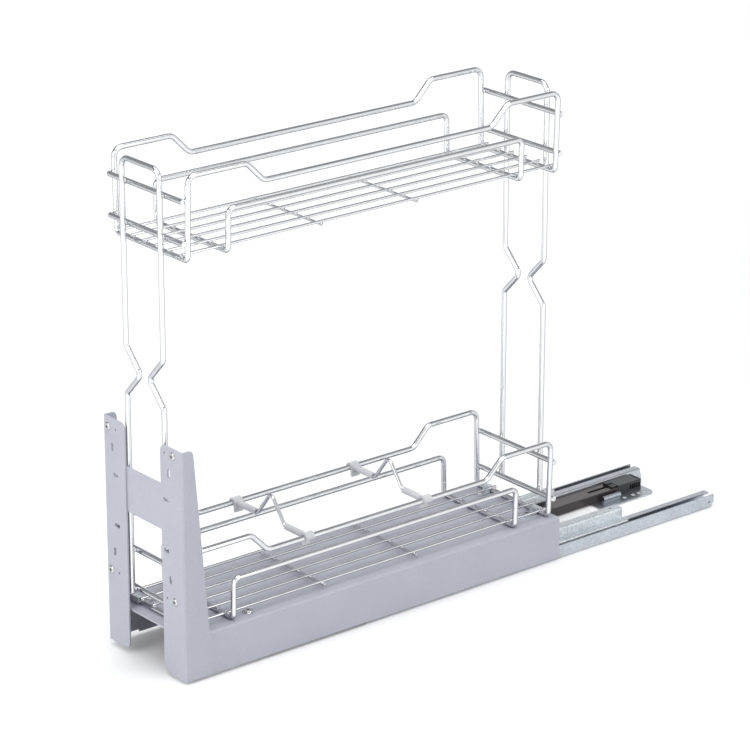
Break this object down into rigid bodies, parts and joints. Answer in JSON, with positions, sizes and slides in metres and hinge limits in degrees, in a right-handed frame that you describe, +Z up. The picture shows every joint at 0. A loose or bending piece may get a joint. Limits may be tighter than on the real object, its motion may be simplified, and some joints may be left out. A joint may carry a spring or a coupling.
{
  "type": "pull out cabinet basket",
  "caption": "Narrow two-tier pull-out wire basket unit with sheet cover, front door bracket, bottle dividers and full-extension floor runners for a slim base cabinet",
  "frame": {"origin": "On the cabinet floor, midway between the two cabinet runners and midway along them.", "axes": "X runs across the cabinet, Y runs from the front to the back of the cabinet, Z is up; the unit pulls out along -Y."},
  "size_m": [0.1122, 0.6312, 0.452],
  "materials": {
    "chrome_wire": "bright chrome-plated wire",
    "clip_plastic": "light grey plastic, slightly glossy",
    "powder_coat": "light bluish grey powder coat, satin",
    "bright_screw": "bright zinc-plated screws",
    "galvanised": "galvanised sheet, smooth",
    "cage_plastic": "black plastic strip",
    "ball_steel": "polished steel balls",
    "dark_plastic": "dark grey plastic, satin",
    "catch_plastic": "black plastic"
  },
  "bodies": {
    "cabinet_side": {"left_cabinet_runner": "galvanised", "right_cabinet_runner": "galvanised", "closer_track": "dark_plastic", "closer_housing": "dark_plastic"},
    "pull_out": {"upper_rim": "chrome_wire", "upper_rail_loop": "chrome_wire", "upper_floor_wires": "chrome_wire", "upper_cross_wires": "chrome_wire", "upper_end_bars": "chrome_wire", "lower_rim": "chrome_wire", "lower_rail_loop": "chrome_wire", "lower_floor_wires": "chrome_wire", "lower_cross_wires": "chrome_wire", "lower_end_bars": "chrome_wire", "front_frame": "chrome_wire", "rear_frame": "chrome_wire", "left_post": "powder_coat", "right_post": "powder_coat", "post_screws": "bright_screw", "base_cover": "powder_coat", "cover_screws": "bright_screw", "basket_clamps": "galvanised", "clamp_screws": "bright_screw", "front_hanger": "galvanised", "rear_hanger": "galvanised", "left_drawer_channel": "galvanised", "right_drawer_channel": "galvanised"},
    "left_middle": {"left_middle_runner": "galvanised"},
    "right_middle": {"right_middle_runner": "galvanised"},
    "left_upper_ball_cage": {"left_upper_cage": "cage_plastic", "left_upper_balls": "ball_steel"},
    "right_upper_ball_cage": {"right_upper_cage": "cage_plastic", "right_upper_balls": "ball_steel"},
    "left_lower_ball_cage": {"left_lower_cage": "cage_plastic", "left_lower_balls": "ball_steel"},
    "right_lower_ball_cage": {"right_lower_cage": "cage_plastic", "right_lower_balls": "ball_steel"},
    "catch": {"closer_catch": "catch_plastic"},
    "front_divider": {"front_divider_wire": "chrome_wire", "front_divider_clips": "clip_plastic"},
    "rear_divider": {"rear_divider_wire": "chrome_wire", "rear_divider_clips": "clip_plastic"}
  },
  "joints": [
    {"name": "drawer_travel", "type": "slide", "parent": "cabinet_side", "child": "pull_out", "axis": [0, 1, 0], "range_m": [-0.2015, 0.196]},
    {"name": "left_middle_travel", "type": "slide", "parent": "cabinet_side", "child": "left_middle", "axis": [0, 1, 0], "range_m": [-0.10075, 0.098]},
    {"name": "right_middle_travel", "type": "slide", "parent": "cabinet_side", "child": "right_middle", "axis": [0, 1, 0], "range_m": [-0.10075, 0.098]},
    {"name": "left_upper_cage_travel", "type": "slide", "parent": "cabinet_side", "child": "left_upper_ball_cage", "axis": [0, 1, 0], "range_m": [-0.15113, 0.147]},
    {"name": "right_upper_cage_travel", "type": "slide", "parent": "cabinet_side", "child": "right_upper_ball_cage", "axis": [0, 1, 0], "range_m": [-0.15113, 0.147]},
    {"name": "left_lower_cage_travel", "type": "slide", "parent": "cabinet_side", "child": "left_lower_ball_cage", "axis": [0, 1, 0], "range_m": [-0.05038, 0.049]},
    {"name": "right_lower_cage_travel", "type": "slide", "parent": "cabinet_side", "child": "right_lower_ball_cage", "axis": [0, 1, 0], "range_m": [-0.05038, 0.049]},
    {"name": "catch_travel", "type": "slide", "parent": "cabinet_side", "child": "catch", "axis": [0, 1, 0], "range_m": [-0.025, 0]},
    {"name": "front_divider_slide", "type": "slide", "parent": "pull_out", "child": "front_divider", "axis": [0, 1, 0], "range_m": [-0.034, 0.061]},
    {"name": "rear_divider_slide", "type": "slide", "parent": "pull_out", "child": "rear_divider", "axis": [0, 1, 0], "range_m": [-0.061, 0.062]}
  ],
  "couplings": [
    {"joint": "left_middle_travel", "follows": "drawer_travel", "ratio": 0.5},
    {"joint": "right_middle_travel", "follows": "drawer_travel", "ratio": 0.5},
    {"joint": "left_upper_cage_travel", "follows": "drawer_travel", "ratio": 0.75},
    {"joint": "right_upper_cage_travel", "follows": "drawer_travel", "ratio": 0.75},
    {"joint": "left_lower_cage_travel", "follows": "drawer_travel", "ratio": 0.25},
    {"joint": "right_lower_cage_travel", "follows": "drawer_travel", "ratio": 0.25}
  ]
}
